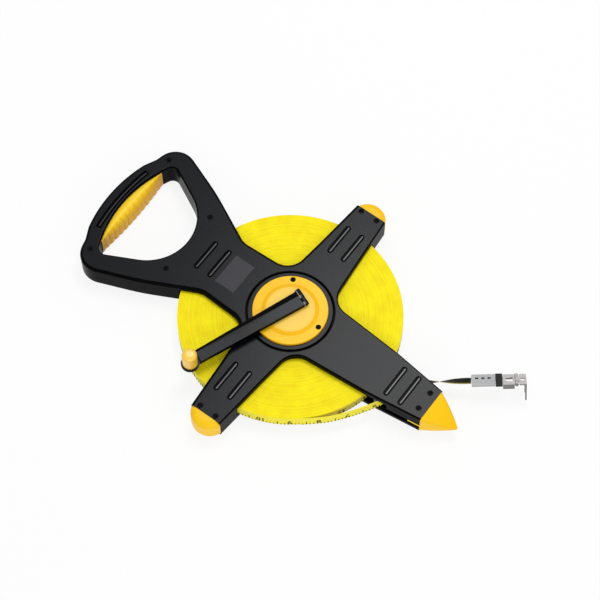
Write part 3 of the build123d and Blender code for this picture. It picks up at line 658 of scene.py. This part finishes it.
def tapeRun(values, sections, total):
    half, thick = values["width"] * mm / 2, values["thick"] * mm / 2
    strips = values["strips"]
    around = [(s, -1) for s in strips] + [(s, 1) for s in reversed(strips)]
    loops, dark = [], []
    for place, run, wide, face in sections:
        share = max(0.0, run / total - values["leaderFrom"]) / (1 - values["leaderFrom"])
        reach = half * (1 - share * (1 - values["leaderWide"]))
        loops.append([place + wide * reach * side + face * thick * lift for side, lift in around])
        dark.append(share > 0)
    piece = skin("tapeRun", loops)
    for name in ("tapeYellow", "leaderBlack", "leaderEdge"):
        piece.data.materials.append(ready[name])
    for polygon in piece.data.polygons:                  # the leader, with its pale edge
        station, k = divmod(polygon.index, len(around))
        if station + 1 < len(loops) and dark[station + 1]:
            polygon.material_index = 2 if len(strips) - 2 <= k <= len(strips) else 1
    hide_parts("tape_run")
    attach(piece, "frame")
    print("tape run", round(total * 1000, 1), "mm")


# ---- print on the tape ----
printing = {
    "inch": 25.4,
    "ticks": 8,                      # to the inch
    "tickWide": 0.85,
    "tickTall": {"inch": 5.4, "half": 3.4, "quarter": 2.7, "small": 2.1},
    "tickStep": (("inch", 8), ("half", 4), ("quarter", 2)),
    "tickSoft": 0.08,
    "edge": 0.1,                     # mm of bare tape beside the ticks
    "figure": 5.8,                   # height of the figures
    "type": 1.4,                     # type size to the height of a figure
    "stroke": 0.2,                   # thickens the figures
    "figureTop": 2.1,                # mm from the rear edge to the figures
    "aside": 0.42,                   # share of an inch from a figure to its mark
    "clear": 0.6,                    # inches from the start of a piece to its first figure's mark
    "runShare": 0.6,                 # share of the loose tape that bears print
    "lift": 0.03,                    # thickness of the ink
}


def oneTick(values, height):
    wide, tall, thick = (v * mm for v in (values["tickWide"], height, values["lift"]))
    return softBlock((wide, tall, thick), (0, -tall / 2, thick / 2), values["tickSoft"] * mm, 1)


def oneFigure(values, number):
    bpy.ops.object.select_all(action="DESELECT")
    bpy.ops.object.text_add(location=(0, 0, 0))
    figure = bpy.context.object
    figure.data.body = str(number)
    figure.data.size = values["figure"] * mm * values["type"]
    figure.data.align_x = "CENTER"
    figure.data.extrude = values["lift"] * mm / 2
    figure.data.offset = values["stroke"] * mm
    figure.data.resolution_u = 3
    bpy.ops.object.convert(target="MESH")
    figure = bpy.context.object
    low = min(v.co.y for v in figure.data.vertices)
    for vertex in figure.data.vertices:
        vertex.co.y -= low
        vertex.co.z += values["lift"] * mm / 2
    return figure


def printPiece(name, values, first, last, placeOf, body):
    # first and last are distances from the zero mark, and the ticks stand on the rear edge
    inch, half, ticks = values["inch"] * mm, tape["width"] * mm / 2, values["ticks"]
    top = half - values["edge"] * mm
    foot = half - (values["figureTop"] + values["figure"]) * mm
    models = {kind: oneTick(values, tall) for kind, tall in values["tickTall"].items()}
    placed = []
    for n in range(math.ceil(first / inch * ticks), math.floor(last / inch * ticks) + 1):
        kind = next((k for k, step in values["tickStep"] if n % step == 0), "small")
        placed.append((copyOf(models[kind]), n * inch / ticks, top))
    for n in range(math.ceil(first / inch + values["clear"]), math.floor(last / inch) + 1):
        placed.append((oneFigure(values, n), (n - values["aside"]) * inch, foot))
    for model in models.values():
        bpy.data.objects.remove(model)
    for mark, run, across in placed:
        for vertex in mark.data.vertices:
            x, y, z = vertex.co
            vertex.co = placeOf(run + x, across + y, z)
    piece = joined(name, [mark for mark, run, across in placed], ready["printBlack"])
    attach(piece, body)
    print(name, len(placed), "marks")
    return piece


# ---- coil ----
coil = {
    "sides": 240,
    "bands": (1.1, 3.4),       # mm, width of the turns that lie level with each other
    "step": 0.14,              # mm, a band lies at most twice this below the rim
    "rim": 0.25,               # rounding at the outer turn
    "slope": 0.12,             # width of the step between two bands
    "smoothUnder": 12,
    "seed": 11,
}


def woundCoil(values):
    low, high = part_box("tape_coil")
    outer, inner = high.x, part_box("spool_core")[1].x
    rim, slope = values["rim"] * mm, values["slope"] * mm
    rng = random.Random(values["seed"])
    bpy.ops.object.select_all(action="DESELECT")
    bpy.ops.mesh.primitive_cylinder_add(vertices=values["sides"], radius=outer, depth=high.z - low.z,
                                        location=(0, 0, middle))
    piece = bpy.context.object
    piece.name = "woundCoil"
    bpy.ops.object.transform_apply(location=True, rotation=False, scale=False)
    bpy.context.tool_settings.mesh_select_mode = (False, False, True)
    for up in (1, -1):                                   # bands of turns on both faces, from the rim inwards
        for polygon in piece.data.polygons:
            polygon.select = polygon.normal.z * up > 0.9 and len(polygon.vertices) > 4
        bpy.ops.object.mode_set(mode="EDIT")
        bpy.ops.mesh.inset(thickness=rim, depth=-values["step"] * mm)
        left, height = outer - inner - rim, -values["step"] * mm
        while left > values["bands"][1] * mm:
            width = rng.uniform(*values["bands"]) * mm
            target = rng.uniform(-2, 0) * values["step"] * mm
            bpy.ops.mesh.inset(thickness=width, depth=0)
            bpy.ops.mesh.inset(thickness=slope, depth=target - height)
            left, height = left - width - slope, target
        bpy.ops.mesh.inset(thickness=left, depth=0)
        bpy.ops.mesh.delete(type="FACE")
        bpy.ops.object.mode_set(mode="OBJECT")
    bpy.ops.object.mode_set(mode="EDIT")                 # then the wall of the bore
    bpy.ops.mesh.select_all(action="DESELECT")
    bpy.ops.mesh.select_mode(type="EDGE")
    bpy.ops.mesh.select_non_manifold()
    bpy.ops.mesh.bridge_edge_loops()
    bpy.ops.mesh.select_all(action="SELECT")
    bpy.ops.mesh.normals_make_consistent(inside=False)
    bpy.ops.object.mode_set(mode="OBJECT")
    bpy.ops.object.shade_smooth_by_angle(angle=math.radians(values["smoothUnder"]))
    piece.data.materials.clear()
    for finish in (coilYellow, ready["tapeYellow"]):
        piece.data.materials.append(finish)
    for polygon in piece.data.polygons:                # the outer turn shows the tape's own face
        outside = abs(polygon.normal.z) < 0.5 and polygon.center.xy.length > outer * 0.9
        polygon.material_index = int(outside)
    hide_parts("tape_coil")
    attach(piece, "reel")
    print("coil", len(piece.data.polygons), "faces")
    return outer


def buildTape(values):
    sections, total = sectionsOf(values, routeLine(values))
    outer = woundCoil(coil)
    zero = total + values["pastEnd"] * mm          # from the zero mark to where the tape leaves the coil
    leaves = math.atan2(values["route"][0][1], values["route"][0][0])

    def onCoil(run, across, lift):
        angle = leaves - (run - zero) / outer
        return Vector(((outer + lift) * math.cos(angle), (outer + lift) * math.sin(angle), middle - across))

    def onRun(run, across, lift):
        return placeOnRun(sections, values, zero - run, -across, lift)

    printPiece("coilPrint", printing, zero, zero + 2 * math.pi * outer, onCoil, "reel")
    runPrint = printPiece("runPrint", printing, zero - printing["runShare"] * total, zero, onRun, "frame")
    marks = sleeveMarks(sleeve)
    tapeRun(values, sections, total)


# ---- marks on the sleeve ----
sleeve = {
    "length": 20.7,
    "thick": 3.0,
    "marks": (0.24, 0.50, 0.76),
    "size": (2.8, 1.7, 0.16),
    "soften": (0.3, 2),        # mm and segments
    "aside": 1.3,              # mm from the middle, away from the near edge
}


def sleeveMarks(values):
    along, wide = endFrame(tape)
    place = Matrix((along, -wide, wide.cross(along))).transposed().to_4x4()
    place.translation = Vector(tape["end"]) * mm
    soften, segments = values["soften"]
    model = softBlock(Vector(values["size"]) * mm, (0, 0, 0), soften * mm, segments)
    marks = []
    for share in values["marks"]:
        shift = Vector((values["length"] * share, values["aside"], values["thick"] / 2)) * mm
        mark = copyOf(model)
        mark.data.transform(place @ Matrix.Translation(shift))
        marks.append(mark)
    bpy.data.objects.remove(model)
    piece = joined("sleeveMarks", marks, ready["bandRubber"])
    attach(piece, "frame")
    print("sleeve", len(marks), "marks")
    return piece


buildTape(tape)


# ---- floor and light ----
studio = {
    "floor": (0.93, 0.93, 0.93),
    "floorRough": 0.9,
    "floorSide": 6,            # metres
    "floorWhite": 0.86,        # share of plain white that the lens sees, the rest keeps the shadow
    "key": {"place": (-0.14, 0.56, 1.5), "size": 0.6, "power": 11},
    "fill": {"place": (1.0, -1.35, 0.55), "size": 1.4, "power": 9},
    "sky": 0.55,
}


def addLamp(name, values):
    place = Vector(values["place"])
    bpy.ops.object.light_add(type="AREA", location=place)
    lamp = bpy.context.object
    lamp.name = name
    lamp.data.size = values["size"]
    lamp.data.energy = values["power"]
    lamp.rotation_euler = (-place).to_track_quat("-Z", "Y").to_euler()


def seenDirectly(tree):
    # rays from the lens, and those by which metal shows what stands round it
    light = tree.nodes.new("ShaderNodeLightPath")
    seen = mathOf(tree, "ADD", light.outputs["Is Camera Ray"], light.outputs["Is Glossy Ray"])
    seen = mathOf(tree, "ADD", seen, light.outputs["Is Transmission Ray"])
    return mathOf(tree, "MINIMUM", seen, 1.0)


def addFloor(values):
    bpy.ops.object.select_all(action="DESELECT")
    bpy.ops.mesh.primitive_plane_add(size=values["floorSide"], location=(0, 0, 0))
    floor = bpy.context.object
    floor.name = "floor"
    made, tree, shader = newMaterial("paleFloor")[:3]
    shader.inputs["Base Color"].default_value = (*values["floor"], 1)
    shader.inputs["Roughness"].default_value = values["floorRough"]
    plain = tree.nodes.new("ShaderNodeEmission")
    mix = tree.nodes.new("ShaderNodeMixShader")
    tree.links.new(mathOf(tree, "MULTIPLY", seenDirectly(tree), values["floorWhite"]), mix.inputs[0])
    tree.links.new(shader.outputs["BSDF"], mix.inputs[1])
    tree.links.new(plain.outputs["Emission"], mix.inputs[2])
    tree.links.new(mix.outputs["Shader"], tree.nodes["Material Output"].inputs["Surface"])
    floor.data.materials.append(made)


def addSky(values):
    world = bpy.context.scene.world or bpy.data.worlds.new("studio")
    bpy.context.scene.world = world
    world.use_nodes = True
    tree = world.node_tree
    background = tree.nodes["Background"]
    background.inputs["Color"].default_value = (1, 1, 1, 1)
    tree.links.new(rangeOf(tree, seenDirectly(tree), values["sky"], 1.0), background.inputs["Strength"])


addFloor(studio)
addSky(studio)
addLamp("keyLamp", studio["key"])
addLamp("fillLamp", studio["fill"])
bpy.context.scene.view_settings.view_transform = "Standard"
print("studio set")
